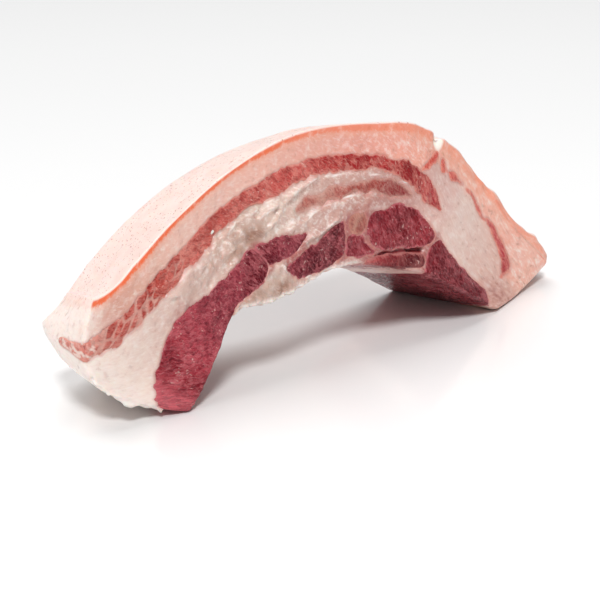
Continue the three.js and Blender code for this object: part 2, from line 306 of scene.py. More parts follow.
# The outer streak of lean: a band of brick-rose muscle 6 to 8 mm thick under the back fat, cut across its
# grain. Towards the left end it breaks up into lobules with seams of fat between them. It is as the knife
# left it, so its face stands a hair proud of the fat. [along the rind, depth below it, thickness]
OUTER_LEAN = [
    (-9, 13.5, 4.5), (9, 13.4, 7.6), (27, 13.4, 8), (45, 13.8, 7.2), (63, 15.1, 8.4), (81, 14.2, 6.6),
    (99, 12.9, 6.4), (117, 12, 5.8), (135, 13.2, 5.6), (153, 14.9, 4.4), (168, 17.6, 6.4),
    (179, 21, 7.6), (190, 25, 2.6),
]
LEAN_STEP = 0.45
LAYERS = {}
FAR_OUTSIDE = -9.0
NEARBY = 5


def resampled(line, count):
    run = np.concatenate([[0], np.cumsum(np.linalg.norm(np.diff(line, axis=0), axis=1))])
    at = np.linspace(0, run[-1], count)
    return np.stack([np.interp(at, run, line[:, n]) for n in range(2)], -1)


def add_layer(name, upper, lower, uneven=1.0):
    """Keeps a layer's upper and lower edge, from its left end to its right end, with as many points each."""
    run = np.linalg.norm(np.diff(upper, axis=0), axis=1).sum()
    count = round(run / LEAN_STEP) + 1
    upper, lower = resampled(upper, count), resampled(lower, count)
    thick = np.linalg.norm(upper - lower, axis=1)
    ragged = []
    for seed, line, way in ((21, upper, -1), (22, lower, 1)):
        spot = np.pad(line, ((0, 0), (0, 1)))
        wobble = 0.55 * lumps(spot, 4.2, seed) + 0.4 * lumps(spot, 1.7, seed + 2)
        shift = way * uneven * wobble * np.minimum(1, thick / 5)
        ragged.append(line + np.stack([np.zeros(count), shift], -1))
    LAYERS[name] = tuple(ragged)


def add_streak(name, middle, uneven=1.0):
    points = spline(middle, np.linspace(0, 1, 400))
    line, thick = points[:, :2], points[:, 2]
    way = np.gradient(line, axis=0)
    way /= np.linalg.norm(way, axis=1, keepdims=True)
    v = np.linspace(-1, 1, len(line))
    half = 0.5 * thick * (0.12 + 0.88 * np.sqrt(1 - np.abs(v) ** 10))
    normal = np.stack([way[:, 1], -way[:, 0]], -1)
    add_layer(name, line + normal * half[:, None], line - normal * half[:, None], uneven)


def grown(upper, lower, by):
    """A layer's edges moved outward all round."""
    ring = np.concatenate([upper, lower[::-1]])
    way = np.roll(ring, -1, axis=0) - np.roll(ring, 1, axis=0)
    way /= np.maximum(np.linalg.norm(way, axis=1, keepdims=True), 1e-9)
    ring = ring + by * np.stack([way[:, 1], -way[:, 0]], -1)
    return ring[: len(upper)], ring[len(upper):][::-1]


def depth_inside(name, along, depth):
    """How far inside a layer's outline points lie, in millimetres, and negative outside it."""
    upper, lower = LAYERS[name]
    ring = np.concatenate([upper[::2], lower[::-2], upper[:1]])
    inside = np.full(len(along), FAR_OUTSIDE)
    near = (along > ring[:, 0].min() - NEARBY) & (along < ring[:, 0].max() + NEARBY)
    near &= (depth > ring[:, 1].min() - NEARBY) & (depth < ring[:, 1].max() + NEARBY)
    distance, _ = line_distance(np.stack([along[near], depth[near]], -1), ring)
    inside[near] = distance
    return inside


# Lobules of muscle on the cut face: how far each point is from the border of its lobule, in millimetres, and
# a value from -1 to 1 that a whole lobule shares.
def lobules(along, depth, size, seed):
    spot = np.stack([along, depth, np.zeros_like(along)], -1)
    bend = 1.3 * lumps(spot, 4.5, seed + 3)
    at = np.stack([along + 0.4 * depth + bend, depth + 0.5 * bend], -1) / size
    cell = np.floor(at).astype(np.int64)
    near, second, tone = np.full(len(at), 9.0), np.full(len(at), 9.0), np.zeros(len(at))
    for corner in np.ndindex(3, 3):
        other = cell + corner - 1
        middle = other + 0.5 + 0.46 * np.stack([scatter(other, seed), scatter(other, seed + 1)], -1)
        distance = np.linalg.norm(at - middle, axis=1)
        second = np.where(distance < near, near, np.minimum(second, distance))
        tone = np.where(distance < near, scatter(other, seed + 2), tone)
        near = np.minimum(near, distance)
    return (second - near) * size[1] / 2, tone


# A streak of lean as a body that runs through the slice. Its two faces stand a little proud of the fat and
# sink at their rim. What passes the underside or an end is cut off there. Seams between its lobules are
# shallow grooves that fade out over seam_reach along the rind, which lies before most streaks.
LOBULE = (4.6, 3.4)
GROOVE = 0.25
ACROSS_STEP = 1.6


def lean_body(name, seam_reach=(-40, -30), bulge=0.12):
    upper, lower = LAYERS[name]
    count = len(upper)
    thick = np.linalg.norm(upper - lower, axis=1).max()
    rows = max(6, round((thick + 0.6) / LEAN_STEP))
    across_steps = spacing(SLICE_WIDTH, 0.4, ACROSS_STEP, 1.2)
    steps = [np.linspace(0, 1, count), np.linspace(0, 1, rows + 1), across_steps]
    length = np.linalg.norm(np.diff(upper, axis=0), axis=1).sum()
    shares, quads, places = block(steps, (length, thick, SLICE_WIDTH))
    wide = grown(upper, lower, 0.3)
    s, v, w = shares.T
    grid = np.linspace(0, 1, count)

    def face_shares(across):
        start_along, _ = layer_point(np.zeros_like(s), np.full_like(s, upper[0, 1] / THICKNESS), across)
        edge = []
        for line in wide:
            first = np.interp(start_along, line[:, 0], grid)
            at = mix(first, 1, s)
            along, depth = (np.interp(at, grid, line[:, n]) for n in range(2))
            u, t = layer_shares(along, depth, across)
            edge.append((np.maximum(u, 0), np.minimum(t, 1)))
        return mix(edge[0][0], edge[1][0], v), mix(edge[0][1], edge[1][1], v)

    heights, insides = [], []
    for across in (0.0, 1.0):
        u, t = face_shares(np.full(len(s), across))
        along, depth = layer_point(u, t, across)
        spot = np.stack([along, depth, np.full(len(s), across * SLICE_WIDTH)], -1)
        inside = depth_inside(name, along, depth)
        border, _ = lobules(along, depth, LOBULE, 31)
        seam = (1 - step(border, 0.0, 0.5)) * (1 - step(along, *seam_reach))
        height = mix(-0.12, bulge, step(inside + 0.25 * lumps(spot, 1.7, 7), -0.3, 1.2))
        height += waves(spot) + 0.22 * lumps(spot, 4, 8) + 0.16 * lumps(spot * (0.5, 1, 1), 1.3, 9)
        heights.append(height - GROOVE * seam)
        insides.append(inside)
    across = mix(-heights[0] / SLICE_WIDTH, 1 + heights[1] / SLICE_WIDTH, w)
    u, t = face_shares(np.clip(across, 0, 1))
    along, depth = layer_point(u, t, np.clip(across, 0, 1))
    belly = np.stack([along, depth, across * SLICE_WIDTH], -1)
    moved = soft_corners(np.stack([u, t, across], -1))
    points = place(*moved.T)
    under = step(t, 0.985, 1) * step(w, 0.0, 0.02) * step(1 - w, 0.0, 0.02)
    points = press_flat(points + normals(points, quads) * (under * waves(belly))[:, None])
    border, tone = lobules(along, depth, LOBULE, 31)
    seam = (1 - step(border, 0.1, 0.75)) * (1 - step(along, *seam_reach))
    seam = seam * step(lumps(belly, 5, 33), -0.5, 0.3)
    values = {"belly": belly, "edge": mix(insides[0], insides[1], w), "seam": seam, "tone": tone, "low": v}
    return points, quads, places, values


# Adds one node to a material, with its settings, the stops of its ramp and what is linked into it, and
# gives back its output.
def add(tree, kind, settings=(), links=(), out=0):
    node = tree.nodes.new("ShaderNode" + kind)
    for key, value in dict(settings).items():
        if key == "stops":
            ramp_stops = node.color_ramp.elements
            for position, colour in value[1:-1]:
                ramp_stops.new(position).color = linear(colour)
            for stop, (position, colour) in ((ramp_stops[0], value[0]), (ramp_stops[-1], value[-1])):
                stop.position, stop.color = position, linear(colour)
        elif isinstance(key, int) or key in node.inputs:
            node.inputs[key].default_value = value
        else:
            setattr(node, key, value)
    for socket, source in dict(links).items():
        tree.links.new(source, node.inputs[socket])
    return node.outputs[out] if node.outputs else None


def linear(colour):
    parts = [int(colour[n:n + 2], 16) / 255 for n in (1, 3, 5)]
    return (*(c / 12.92 if c <= 0.04045 else ((c + 0.055) / 1.055) ** 2.4 for c in parts), 1)


def along_stops(stops):
    return [(along / RIND_LENGTH, colour) for along, colour in stops]


# How much of something shows, as the product of its terms. A term is an output, or an output with low, high,
# least and most, for a smooth change from least to most while the output goes from low to high.
def amount(tree, *terms):
    total = None
    for term in terms:
        if isinstance(term, tuple):
            output, *ends = term
            smooth = {"interpolation_type": "SMOOTHSTEP"} | dict(enumerate(ends, 1))
            term = add(tree, "MapRange", smooth, {0: output})
        if total is not None:
            term = add(tree, "Math", {"operation": "MULTIPLY"}, {0: total, 1: term})
        total = term
    return total


def coated(tree, colour, *coats):
    """Lays tints over a colour in turn. A coat is a tint, hex or an output, and the terms of its amount."""
    for tint, *terms in coats:
        settings, links = {"data_type": "RGBA"}, {0: amount(tree, *terms)}
        for socket, tone in ((6, colour), (7, tint)):
            if isinstance(tone, str):
                settings[socket] = linear(tone)
            else:
                links[socket] = tone
        colour = add(tree, "Mix", settings, links, 2)
    return colour


def bare_material(name):
    material = bpy.data.materials.new(name)
    material.use_nodes = True
    material.node_tree.nodes.clear()
    return material, material.node_tree


# Raw muscle cut across its grain. The eye sees bundles of fibre about 1 mm wide in slightly different reds,
# pale flecks of fat between them, a paler rim where it meets fat, and small wet highlights on the bundles,
# which are painted on as pale specks where the surface is also glossier.
def raw_muscle(
    name, stops, pale, deep="#560A18", rim=0.8, fleck=0.5, wet=0.32, contrast=0.35, low=0.0, fading=0.0
):
    material, tree = bare_material(name)
    belly = add(tree, "Attribute", {"attribute_name": "belly"}, out=1)
    along = add(tree, "SeparateXYZ", links={0: belly})
    tone, down, seam, edge = (
        add(tree, "Attribute", {"attribute_name": label}, out=2) for label in ("tone", "low", "seam", "edge")
    )
    # The colour changes along the rind, at borders that wander by several millimetres.
    wander = add(tree, "TexNoise", {"Scale": 1 / 7, "Detail": 3.0}, {"Vector": belly})
    shifted = add(tree, "Math", {"operation": "MULTIPLY_ADD", 1: 14.0}, {0: wander, 2: along})
    share = add(tree, "MapRange", {1: 7.0, 2: RIND_LENGTH + 7.0}, {0: shifted})
    base = add(tree, "ValToRGB", {"stops": along_stops(stops)}, {0: share})
    # Bundles of fibre, each a little lighter or darker than the next, with streaks along them.
    bent = add(tree, "TexNoise", {"Scale": 1 / 4.0, "Detail": 2.0}, {"Vector": belly}, 1)
    warped = add(tree, "VectorMath", {"operation": "MULTIPLY_ADD", 1: (2.2, 2.2, 2.2)}, {0: bent, 2: belly})
    turned = add(tree, "VectorRotate", {"Axis": (0, 0, 1), "Angle": -0.6}, {"Vector": warped})
    stretch = add(tree, "VectorMath", {"operation": "MULTIPLY", 1: (0.36, 1.2, 0.4)}, {0: turned})
    cells = add(tree, "TexVoronoi", {"Scale": 1 / 1.3}, {"Vector": stretch}, 1)
    cell_tone = add(tree, "SeparateColor", links={0: cells})
    border = add(tree, "TexVoronoi", {"Scale": 1 / 1.3, "feature": "DISTANCE_TO_EDGE"}, {"Vector": stretch})
    mixed_tone = add(tree, "Math", {"operation": "MULTIPLY_ADD", 1: 0.3}, {0: tone, 2: cell_tone})
    fibre, threads = (
        add(tree, "TexNoise", {"Scale": 1 / wide, "Detail": detail, "Roughness": rough}, {"Vector": stretch})
        for wide, detail, rough in ((0.8, 3.0, 0.7), (2.2, 4.0, 0.62))
    )
    # Threads of fat, more of them low in the streak, and pale specks that are partly flecks of fat and
    # partly painted wet highlights.
    lowest = amount(tree, (down, 0.45, 0.95, 0, low))
    flecked = add(tree, "Math", {"operation": "MULTIPLY_ADD", 1: 0.2}, {0: lowest, 2: threads})
    longer = add(tree, "VectorMath", {"operation": "MULTIPLY", 1: (0.6, 1.1, 0.6)}, {0: turned})
    spot = add(tree, "TexNoise", {"Scale": 1 / 0.9, "Detail": 1.5}, {"Vector": longer})
    patchy = add(tree, "TexNoise", {"Scale": 1 / 9, "Detail": 2.0}, {"Vector": belly})
    fleck_and_painted_glint = amount(tree, spot, (patchy, 0.4, 0.62, 0.84, 1))
    colour = coated(
        tree, base,
        (pale, (mixed_tone, 0.5, 1.2, 0, contrast)), (deep, (mixed_tone, 0.5, -0.2, 0, contrast)),
        (deep, (fibre, 0.5, 0.34, 0, 0.5)), (pale, (fibre, 0.52, 0.7, 0, 0.55)),
        (pale, (border, 0.12, 0, 0, 0.22)), (pale, (flecked, 0.56, 0.7, 0, fleck)),
        (deep, (patchy, 0.5, 0.36, 0, 0.22)), (pale, (patchy, 0.52, 0.68, 0, 0.16)),
        # The pale pink specks are painted wet highlights, partly flecks of fat.
        ("#EDC2BA", (fleck_and_painted_glint, 0.61, 0.74, 0, 0.5)), ("#E4B5A7", (seam, 0.1, 1, 0, 0.6)),
    )
    if fading:
        near_end = amount(tree, (along, 12, -1, 0, fading))
        thinned = add(tree, "Math", {"operation": "ADD"}, {0: near_end, 1: threads})
        colour = coated(tree, colour, ("#F2DACF", (thinned, 0.66, 0.8, 0, 0.85)))
    # The rim, where lean thins out over the fat.
    ragged = add(tree, "Math", {"operation": "MULTIPLY_ADD", 1: 3.0}, {0: threads, 2: edge})
    colour = coated(tree, colour, (pale, (ragged, rim + 1.5, 1.3, 0, 0.8)))
    rough = amount(tree, (spot, 0.62, 0.4, wet - 0.12, wet + 0.2))
    grain = add(tree, "Math", {"operation": "MULTIPLY_ADD", 1: 0.5}, {0: threads, 2: fibre})
    bump = add(tree, "Bump", {"Strength": 0.85, "Distance": 0.0007}, {"Height": grain})
    shader = {
        "IOR": 1.36, "Specular IOR Level": 0.25,
        "Coat Weight": 0.15, "Coat Roughness": 0.08, "Coat IOR": 1.36,
        "Subsurface Weight": 0.12, "Subsurface Radius": (1.0, 0.2, 0.15), "Subsurface Scale": 0.0008,
    }
    surface = add(tree, "BsdfPrincipled", shader, {"Base Color": colour, "Roughness": rough, "Normal": bump})
    add(tree, "OutputMaterial", links={0: surface})
    return material


add_streak("lean_outer", OUTER_LEAN, 1.4)
outer_body = lean_body("lean_outer", seam_reach=(28, 70))
make_piece("outer_streak", ["lean_outer"], outer_body, raw_muscle(
    "raw_pork_lean_outer_streak",
    [
        (0, "#D88478"), (9, "#C86458"), (16, "#BA4238"), (30, "#B83E34"), (50, "#D06A60"), (70, "#C8564E"),
        (84, "#C6504A"), (110, "#CE5A54"), (130, "#AA2426"), (150, "#B42E30"), (166, "#9E2226"),
        (174, "#A42A2E"), (182, "#C04246"), (190, "#C05450"),
    ],
    pale="#E29A8C", rim=0.5, fleck=0.5, low=0.6, contrast=0.35, fading=0.22, deep="#6E1218",
))

# The thin end of the outer streak on the right: small bright spots and one long hook of lean in the fat.
# They are one muscle that thins out to threads, cut across where it still has some body.
TAIL_SPOTS = [
    [(173.2, 15.4, 1.4), (174.6, 13.8, 2.8), (177, 11, 3.2), (178.8, 8.4, 3.2), (180, 6.4, 1.4)],
    [(183, 7, 1.8), (184.3, 9.2, 3.4), (185.6, 11.8, 2.0)],
    [(188, 9.9, 1.4), (190.5, 10.2, 3.1), (193, 10, 2.6), (197, 9.2, 1.2)],
    [(200.8, 8.9, 0.9), (204, 9.8, 1.3), (207, 11.2, 2.0), (210.8, 13, 1.4)],
    [(212.2, 11, 2), (215, 11.8, 3.1), (218.4, 13.2, 3.1), (222.6, 16.2, 3.2), (226, 19.6, 3.9),
     (227.9, 23, 3.8), (228.6, 27.4, 2)],
]


def joined(bodies):
    points, quads, places, start = [], [], [], 0
    for n, (spots, faces, spread, _) in enumerate(bodies):
        points.append(spots)
        quads.append(faces + start)
        places.append((spread + (0, n)) / (1, len(bodies)))
        start += len(spots)
    values = {label: np.concatenate([body[3][label] for body in bodies]) for label in bodies[0][3]}
    return np.concatenate(points), np.concatenate(quads), np.concatenate(places), values


spots = []
for n, middle in enumerate(TAIL_SPOTS):
    add_streak(f"tail_spot_{n}", middle, 1.8)
    spots.append(lean_body(f"tail_spot_{n}"))
make_piece("tail_of_outer_streak", ["lean_outer_tail"], joined(spots), raw_muscle(
    "raw_pork_lean_tail_spots",
    [
        (165, "#DE5244"), (185, "#DE5E52"), (200, "#D87068"), (212, "#CC5054"), (230, "#B83A42"),
        (240, "#B83A42"),
    ],
    pale="#EFA896", rim=1.0, fleck=0.5, contrast=0.3, deep="#9C2020",
))

# The lens and the nodule: muscle so mixed with soft fat that it is only pink-brown, without a sharp rim. The
# lens lies in the middle fat, and the nodule is a knot of it between the inner muscles.
LENS = [
    (108, 24, 1.6), (115, 23.3, 4), (125, 22.8, 4.6), (137, 22.9, 4.2), (148, 22.6, 4.2), (158, 23.3, 4.8),
    (165, 24.2, 4.4), (172, 24.8, 1.4),
]
NODULE = [(139.5, 33), (146, 32.3), (150.6, 34.5), (150.6, 38.4), (146, 39.6), (141.6, 37.6)]


def add_muscle(name, outline):
    around = np.array(outline + outline[:3], float)[np.r_[-4, 0:len(outline) + 3]]
    share = np.linspace(1, len(outline) + 1, 40 * len(outline) + 1) / (len(around) - 1)
    ring = spline(around, share)[:-1]
    ring = np.roll(ring, -ring[:, 0].argmin(), axis=0)
    far = ring[:, 0].argmax()
    one, other = ring[: far + 1], np.concatenate([ring[far:], ring[:1]])[::-1]
    add_layer(name, *((one, other) if one[:, 1].mean() < other[:, 1].mean() else (other, one)))


add_streak("lean_lens", LENS, 1.9)
make_piece("lens_of_lean", ["lean_lens"], lean_body("lean_lens", bulge=0.0), raw_muscle(
    "raw_pork_lean_mixed_with_fat",
    [
        (100, "#C68C7E"), (108, "#BE6A5E"), (116, "#C0756A"), (123, "#D0A091"), (131, "#B85E54"),
        (150, "#AE5048"), (158, "#98393A"), (170, "#9C4444"),
    ],
    pale="#D3A396", rim=1.3, fleck=0.55, contrast=0.3, deep="#7A2422",
))
add_muscle("lean_nodule", NODULE)
make_piece("nodule", ["lean_nodule"], lean_body("lean_nodule"), raw_muscle(
    "raw_pork_nodule",
    [(137, "#9C4A46"), (141, "#B06A60"), (144.5, "#C28E7E"), (148, "#AE6258"), (152, "#994848")],
    pale="#C88C7C", rim=1.3, fleck=0.5, contrast=0.3, deep="#7A2E2C",
))

# The inner muscles: darker wine-red lean in separate plump pieces along the inner side, each in its own skin
# of pale membrane. The one on the left runs down to the table and is its brightest there.
MUSCLES = {
    "lean_inner_left": [
        (83.5, 31.2), (76, 33.6), (69, 34.6), (61, 33.4), (52, 31.2), (44, 28.6), (37, 27.4), (30, 28.6),
        (22, 32), (14, 36.8), (6, 41), (-2, 44.4), (-12, 47), (-12, 55), (40, 55), (60, 51.5), (72, 47.8),
        (82, 45.4), (88.5, 42.8), (92, 38.9), (88.6, 33.8),
    ],
    "lean_inner_fold": [
        (86.7, 30.9), (93, 30.3), (100, 30.3), (108, 31.8), (115.4, 33), (113, 36), (107, 37.6), (100, 38.2),
        (93.8, 37.8), (90, 35.2),
    ],
    "lean_inner_middle": [
        (135.2, 33.4), (139, 39), (141.2, 45.4), (136, 47.8), (129, 48.3), (120, 47.6), (111, 45.6),
        (103, 41.7), (108, 40), (118, 38.4), (126, 36.2),
    ],
    "lean_inner_small": [
        (141.2, 40), (148, 39.8), (153.4, 42.4), (160.4, 45.4), (156, 47), (149, 47.2), (143.6, 46.4),
    ],
    "lean_inner_right": [
        (152.4, 33.5), (159, 30.8), (168, 28.8), (177, 28.6), (185, 31), (191, 34), (192, 37.3),
        (187, 40.3), (176, 42.9), (166, 44.2), (157.4, 42.8), (152.6, 38.4),
    ],
    "lean_inner_tail": [
        (192.4, 39.6), (195.8, 35.4), (203, 37.3), (211, 39.7), (219, 41), (226, 42.8), (231, 47),
        (232, 55), (214, 56), (199, 55), (194, 47),
    ],
}
inner_lean = raw_muscle(
    "raw_pork_lean_inner_muscles",
    [
        (0, "#E06A74"), (10, "#DA6670"), (22, "#8A0A1E"), (34, "#B2404C"), (44, "#AC404C"), (56, "#8C2C3A"),
        (74, "#9A3A46"), (83, "#66081A"), (92, "#66081A"), (102, "#862C3A"), (118, "#6A1A26"),
        (132, "#560C18"), (146, "#8C2A34"), (160, "#90242F"), (175, "#761019"), (186, "#9C2630"),
        (200, "#6A0A18"), (240, "#72101E"),
    ],
    pale="#CC7278", rim=0.6, fleck=0.55, wet=0.26, contrast=0.42, deep="#4A0414",
)
for name, outline in MUSCLES.items():
    add_muscle(name, outline)
    make_piece(name.replace("lean", "muscle"), [name], lean_body(name, bulge=0.3), inner_lean)

# The loose flap: a thin tongue of lean and membrane, cut half free by the knife. It hangs under the right of
# the arch, below a slit.
FLAP = [(157, 49.4, 1.6), (166, 48.6, 4.2), (176, 47.7, 5.4), (186, 46.8, 6), (193, 46.4, 3)]
add_streak("loose_flap", FLAP)
flap_body = lean_body("loose_flap", bulge=0.5)
make_piece("loose_flap_of_membrane", ["loose_flap"], flap_body, raw_muscle(
    "raw_pork_membrane_over_lean",
    [(155, "#C46A66"), (163, "#B24C4E"), (171, "#8A262C"), (182, "#62121A"), (200, "#560C16")],
    pale="#BE7470", rim=0.8, fleck=0.4, wet=0.26, contrast=0.3,
))

# The fat with its rind: one soft body that holds the muscles. It is white to pink, firm and finely striped
# under the rind, and soft and lumpy in the middle, where the knife left folds and lips. The rind is smooth
# scalded skin with fine pores, and its cut edge is orange. The body is hollowed where muscles fill it.
RECESS = 1.7
# Folds on the cut face: height, width of the raised side, width of the steep side, and a line of
# [along, depth] with the raised side on its right as it is seen. Negative heights are slits.
FOLDS = [
    (1.3, 2.6, 0.45, [(66, 20.5), (75, 20.6), (78.5, 19.2), (85.8, 18.9), (90.5, 17.6)]),
    (1.2, 2.2, 0.45, [(90, 17.4), (95.5, 17.5), (100, 18.2), (104.5, 16.8), (111.2, 17)]),
    (1.9, 1.3, 1.0, [(98, 21.6), (100.5, 20.5), (105.8, 18.6), (111.2, 17.5), (116, 16.2), (121, 15.8)]),
    (1.5, 1.3, 0.9, [(87, 22.4), (93, 20.6), (96.8, 20), (101, 20)]),
    (1.4, 1.3, 0.9, [(92, 26.4), (96.5, 24.8), (98.5, 23.2), (101, 21.2)]),
    (1.2, 1.2, 0.8, [(86, 24.6), (89, 26.6), (92, 27.4)]),
    (1.0, 1.1, 0.8, [(78, 22.5), (81, 25), (82, 28.5)]),
    (0.9, 1.1, 0.8, [(70, 23), (74, 26), (75, 29.5)]),
    (0.8, 1.4, 0.8, [(52, 21), (58, 23.6), (61, 27.5)]),
    (0.7, 1.6, 0.9, [(44, 20), (49, 23), (52, 27)]),
    (1.6, 3.2, 0.4, [
        (96.5, 29.6), (103.2, 28.8), (107.5, 28.3), (111.8, 28.4), (115.2, 27.3), (120, 26.3), (123.2, 25.3),
        (128.2, 25.6), (135.2, 25.1), (142.2, 25.1), (149.5, 25.2), (158, 26.2), (166, 27),
    ]),
    (1.5, 1.6, 0.4, [
        (134.5, 31.4), (132, 32), (128.5, 33.5), (123.2, 35), (118, 35.3), (112.8, 35.4), (107, 38.6),
    ]),
    (1.3, 2.6, 0.4, [(40, 17.8), (49.2, 18.2), (59.8, 19.8), (68, 19.6)]),
    (1.3, 3.0, 0.4, [(38.4, 28.4), (40.6, 25.4), (39.4, 21.4), (36, 18.6), (33.2, 17.4)]),
    (1.1, 1.2, 0.6, [
        (93, 39.8), (99.5, 39.2), (104, 42.6), (110, 45.9), (119, 47.4), (128.2, 47.6), (136.5, 47.6),
    ]),
    (0.6, 1.8, 0.9, [(120.5, 16), (127, 16.4), (135.8, 17), (144, 18.8)]),
    (0.5, 1.3, 0.7, [(141, 17.8), (150, 18.5), (158, 19.4), (164, 20.3), (170, 21.4)]),
    (0.8, 1.0, 0.6, [(136.5, 33), (137.8, 38), (140.5, 45)]),
    (-1.4, 0.6, 0.6, [(160, 46.8), (168, 45.4), (174, 44.4), (182, 42.8), (187, 41.8), (190, 41)]),
    (-1.6, 1.1, 1.1, [(180, 43.8), (185, 42.9), (190, 41.6)]),
    (0.9, 1.3, 0.5, [(208, 1.6), (216, 2.6), (224, 4.2), (232, 5.4), (242, 4.4)]),
    (-0.8, 0.5, 0.5, [(86.8, 31.6), (89.5, 35.5), (92.4, 39.4)]),
]
# From here on along the rind, the lip of a fold is no longer painted white as a highlight but red,
# as the strands of lean are.
RED_EDGE = (198, 206)
# The nick in the rind, the small knob of fat and the bulge at the right end. Negative depths stand out.
NICK = {"along": 178.4, "depth": 0, "reach": (1.7, 4.2, 4.5), "deep": 2.4}
KNOB = {"along": 65.4, "depth": 16.4, "reach": (1.6, 1.0, 1.5), "deep": -1.3}
RIND_BULGE = {"along": 230, "depth": 0, "across": 10, "reach": (5.5, 4, 7), "deep": -2.6}
# Patches of [along, depth, reach, reach, strength]: brownish stretched tissue, and fat stained by the lean.
STRETCHED = [
    (86, 26.6, 6.5, 3.6, 1.0), (77, 29.8, 6, 2.4, 0.7), (60, 27, 9, 3.5, 0.4), (46, 24, 6, 4, 0.4),
    (100, 46.8, 9, 2.8, 1.0), (84, 46.5, 12, 3, 0.7), (94, 44, 8, 4, 0.4), (56, 22, 3, 5, 0.35),
]
STAINED = [
    (143, 39, 7, 9, 1.0), (150, 34, 5, 7, 0.7), (156, 44, 8, 3, 0.9), (176, 44, 16, 3.4, 1.0),
    (190, 41, 5, 5, 0.7), (160, 28.5, 10, 3, 0.35), (232, 41, 8, 8, 0.7), (118, 39, 9, 2, 0.3),
    (172, 27, 5, 4, 0.4), (37, 26.4, 7, 2.2, 0.6), (22, 30.4, 4, 2, 0.35),
]
# The line [along, depth] where the firm outer fat gives way to the softer fat below it, past both ends.
LAYER_PARTING = [
    (-20, 13.5), (63, 15.1), (99, 12.9), (135, 13.2), (168, 17), (172.5, 15), (175, 12.6), (180, 9.6),
    (187, 9.6), (195, 9.6), (204, 10), (211, 11.4), (217, 12.4), (222.5, 16), (227, 20.6), (228.6, 26),
    (236, 29), (248, 31),
]
# Thin threads of lean that join the spots of the thin end.
THREADS = [
    (173, 15.5), (177, 11), (179.5, 7.5), (184, 9.5), (190, 10.2), (197, 9.4), (204, 9.8), (211, 12.2),
    (215, 12), (219, 13.4), (224, 17.4), (228, 23), (228.8, 30),
]


def pit(spot, at):
    middle = np.array([at["along"], at["depth"], at.get("across", 0)])
    return at["deep"] * np.exp(-(((spot - middle) / at["reach"]) ** 2).sum(axis=1))


def raise_folds(rise, spot, clear, front):
    """Adds folds and slits to the rise of the cut face, and gives how much painted lip highlight, slit and
    blush is there.
    """
    lip, slit, flush = np.zeros((3, len(spot)))
    for height, wide, steep, line in FOLDS:
        distance, share = line_distance(spot[:, :2], line)
        taper = step(share, 0, 0.15) * (1 - step(share, 0.85, 1)) * front
        distance = distance + 0.35 * lumps(spot, 2.6, 13)
        profile = np.exp(-np.where(distance > 0, distance / wide, (distance / steep) ** 2))
        rise += height * profile * taper * (clear if height > 0 else 1)
        if height > 0:
            # The raised edge of a fold is painted white as a highlight; past the red edge it is red, as
            # strands of lean are.
            edge = taper * np.exp(-np.abs(distance - 0.3) / 0.5) * (0.7 + 0.6 * lumps(spot, 4, 14))
            lip = np.maximum(lip, edge * (1 - step(spot[:, 0], *RED_EDGE)))
            flush = np.maximum(flush, edge * step(spot[:, 0], *RED_EDGE))
        else:
            slit = np.maximum(slit, taper * np.exp(-((distance / 0.9) ** 2)) * min(1, -height / 2))
    return lip, slit, flush


def raise_rims(rise, shares, spot, front):
    """Adds the ragged rims, along the foot of the left end and the inner side, and gives where they are."""
    from_end = np.minimum(shares, 1 - shares) * (RIND_LENGTH, THICKNESS, SLICE_WIDTH)
    foot = (1 - step(spot[:, 0], 6, 14)) * step(spot[:, 1], 18, 26)
    inner = step(spot[:, 0], 66, 72) * (1 - step(spot[:, 0], 150, 158)) * step(spot[:, 1], 44, 48)
    near_edge = np.where(foot > inner, np.minimum(from_end[:, 0], from_end[:, 1]), from_end[:, 1])
    rim = np.maximum(foot, inner) * np.exp(-(np.maximum(near_edge, from_end[:, 2]) / 1.6)) * front
    frill = 0.3 + 1.3 * lumps(spot, 2.1, 15) + 0.8 * lumps(spot, 1, 16)
    rise += rim * frill * mix(0.6, 1, step(foot, 0, 0.5))
    return rim


def patches(middles, spot, cut):
    share = np.zeros(len(spot))
    for along, depth, wide, high, much in middles:
        off = ((spot[:, 0] - along) / wide) ** 2 + ((spot[:, 1] - depth) / high) ** 2
        share = np.maximum(share, much * np.exp(-off) * cut)
    return share


